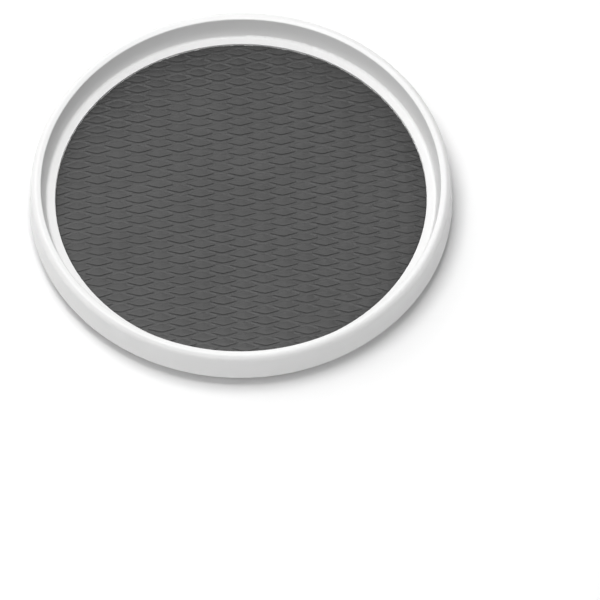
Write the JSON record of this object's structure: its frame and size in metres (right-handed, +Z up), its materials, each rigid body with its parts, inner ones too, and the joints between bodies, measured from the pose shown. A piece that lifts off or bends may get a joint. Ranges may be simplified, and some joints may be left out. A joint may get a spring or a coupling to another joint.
{
  "type": "lazy susan turntable",
  "caption": "Free-standing round kitchen turntable: white tray with a thick raised rim and a dark grey non-skid mat, turning on a ball bearing above a low base.",
  "frame": {"origin": "centre of the object's footprint, on the spin axis, in the plane of the feet's lower faces", "axes": "+Z up along the spin axis; X and Y horizontal, with foot_1 on +X"},
  "size_m": [0.2982, 0.2982, 0.0317],
  "materials": {
    "white_moulding": "satin moulded, white",
    "white_base": "fine spark texture, white",
    "grey_mat": "soft matte, embossed scale pattern, dark grey",
    "foot_rubber": "soft matte, dark grey",
    "cage_plastic": "natural, slightly waxy",
    "bush_plastic": "natural acetal",
    "ball_steel": "polished bearing steel",
    "plated_steel": "zinc plated"
  },
  "bodies": {
    "stand": {"base": "white_base", "pivot_bush": "bush_plastic", "hub_cap": "white_base", "foot_1": "foot_rubber", "foot_2": "foot_rubber", "foot_3": "foot_rubber", "foot_4": "foot_rubber", "foot_5": "foot_rubber", "foot_6": "foot_rubber"},
    "turning_tray": {"tray": "white_moulding", "mat": "grey_mat", "pivot_washer": "plated_steel", "pivot_screw": "plated_steel"},
    "ball_retainer": {"ball_cage": "cage_plastic"},
    "rolling_ball_01": {"ball_01": "ball_steel"},
    "rolling_ball_02": {"ball_02": "ball_steel"},
    "rolling_ball_03": {"ball_03": "ball_steel"},
    "rolling_ball_04": {"ball_04": "ball_steel"},
    "rolling_ball_05": {"ball_05": "ball_steel"},
    "rolling_ball_06": {"ball_06": "ball_steel"},
    "rolling_ball_07": {"ball_07": "ball_steel"},
    "rolling_ball_08": {"ball_08": "ball_steel"},
    "rolling_ball_09": {"ball_09": "ball_steel"},
    "rolling_ball_10": {"ball_10": "ball_steel"},
    "rolling_ball_11": {"ball_11": "ball_steel"},
    "rolling_ball_12": {"ball_12": "ball_steel"},
    "rolling_ball_13": {"ball_13": "ball_steel"},
    "rolling_ball_14": {"ball_14": "ball_steel"},
    "rolling_ball_15": {"ball_15": "ball_steel"},
    "rolling_ball_16": {"ball_16": "ball_steel"}
  },
  "joints": [
    {"name": "tray_spin", "type": "hinge", "parent": "stand", "child": "turning_tray", "pos_m": [0, 0, 0.006], "axis": [0, 0, 1], "continuous": true},
    {"name": "cage_spin", "type": "hinge", "parent": "stand", "child": "ball_retainer", "pos_m": [0, 0, 0.006], "axis": [0, 0, 1], "continuous": true},
    {"name": "ball_01_roll", "type": "hinge", "parent": "ball_retainer", "child": "rolling_ball_01", "pos_m": [0.08, 0, 0.006], "axis": [1, 0, 0], "continuous": true},
    {"name": "ball_02_roll", "type": "hinge", "parent": "ball_retainer", "child": "rolling_ball_02", "pos_m": [0.07391, 0.03061, 0.006], "axis": [0.9239, 0.3827, 0], "continuous": true},
    {"name": "ball_03_roll", "type": "hinge", "parent": "ball_retainer", "child": "rolling_ball_03", "pos_m": [0.05657, 0.05657, 0.006], "axis": [0.7071, 0.7071, 0], "continuous": true},
    {"name": "ball_04_roll", "type": "hinge", "parent": "ball_retainer", "child": "rolling_ball_04", "pos_m": [0.03061, 0.07391, 0.006], "axis": [0.3827, 0.9239, 0], "continuous": true},
    {"name": "ball_05_roll", "type": "hinge", "parent": "ball_retainer", "child": "rolling_ball_05", "pos_m": [0, 0.08, 0.006], "axis": [0, 1, 0], "continuous": true},
    {"name": "ball_06_roll", "type": "hinge", "parent": "ball_retainer", "child": "rolling_ball_06", "pos_m": [-0.03061, 0.07391, 0.006], "axis": [-0.3827, 0.9239, 0], "continuous": true},
    {"name": "ball_07_roll", "type": "hinge", "parent": "ball_retainer", "child": "rolling_ball_07", "pos_m": [-0.05657, 0.05657, 0.006], "axis": [-0.7071, 0.7071, 0], "continuous": true},
    {"name": "ball_08_roll", "type": "hinge", "parent": "ball_retainer", "child": "rolling_ball_08", "pos_m": [-0.07391, 0.03061, 0.006], "axis": [-0.9239, 0.3827, 0], "continuous": true},
    {"name": "ball_09_roll", "type": "hinge", "parent": "ball_retainer", "child": "rolling_ball_09", "pos_m": [-0.08, 0, 0.006], "axis": [-1, 0, 0], "continuous": true},
    {"name": "ball_10_roll", "type": "hinge", "parent": "ball_retainer", "child": "rolling_ball_10", "pos_m": [-0.07391, -0.03061, 0.006], "axis": [-0.9239, -0.3827, 0], "continuous": true},
    {"name": "ball_11_roll", "type": "hinge", "parent": "ball_retainer", "child": "rolling_ball_11", "pos_m": [-0.05657, -0.05657, 0.006], "axis": [-0.7071, -0.7071, 0], "continuous": true},
    {"name": "ball_12_roll", "type": "hinge", "parent": "ball_retainer", "child": "rolling_ball_12", "pos_m": [-0.03061, -0.07391, 0.006], "axis": [-0.3827, -0.9239, 0], "continuous": true},
    {"name": "ball_13_roll", "type": "hinge", "parent": "ball_retainer", "child": "rolling_ball_13", "pos_m": [0, -0.08, 0.006], "axis": [0, -1, 0], "continuous": true},
    {"name": "ball_14_roll", "type": "hinge", "parent": "ball_retainer", "child": "rolling_ball_14", "pos_m": [0.03061, -0.07391, 0.006], "axis": [0.3827, -0.9239, 0], "continuous": true},
    {"name": "ball_15_roll", "type": "hinge", "parent": "ball_retainer", "child": "rolling_ball_15", "pos_m": [0.05657, -0.05657, 0.006], "axis": [0.7071, -0.7071, 0], "continuous": true},
    {"name": "ball_16_roll", "type": "hinge", "parent": "ball_retainer", "child": "rolling_ball_16", "pos_m": [0.07391, -0.03061, 0.006], "axis": [0.9239, -0.3827, 0], "continuous": true}
  ],
  "couplings": [
    {"joint": "cage_spin", "follows": "tray_spin", "ratio": 0.5},
    {"joint": "ball_01_roll", "follows": "tray_spin", "ratio": -16},
    {"joint": "ball_02_roll", "follows": "tray_spin", "ratio": -16},
    {"joint": "ball_03_roll", "follows": "tray_spin", "ratio": -16},
    {"joint": "ball_04_roll", "follows": "tray_spin", "ratio": -16},
    {"joint": "ball_05_roll", "follows": "tray_spin", "ratio": -16},
    {"joint": "ball_06_roll", "follows": "tray_spin", "ratio": -16},
    {"joint": "ball_07_roll", "follows": "tray_spin", "ratio": -16},
    {"joint": "ball_08_roll", "follows": "tray_spin", "ratio": -16},
    {"joint": "ball_09_roll", "follows": "tray_spin", "ratio": -16},
    {"joint": "ball_10_roll", "follows": "tray_spin", "ratio": -16},
    {"joint": "ball_11_roll", "follows": "tray_spin", "ratio": -16},
    {"joint": "ball_12_roll", "follows": "tray_spin", "ratio": -16},
    {"joint": "ball_13_roll", "follows": "tray_spin", "ratio": -16},
    {"joint": "ball_14_roll", "follows": "tray_spin", "ratio": -16},
    {"joint": "ball_15_roll", "follows": "tray_spin", "ratio": -16},
    {"joint": "ball_16_roll", "follows": "tray_spin", "ratio": -16}
  ]
}
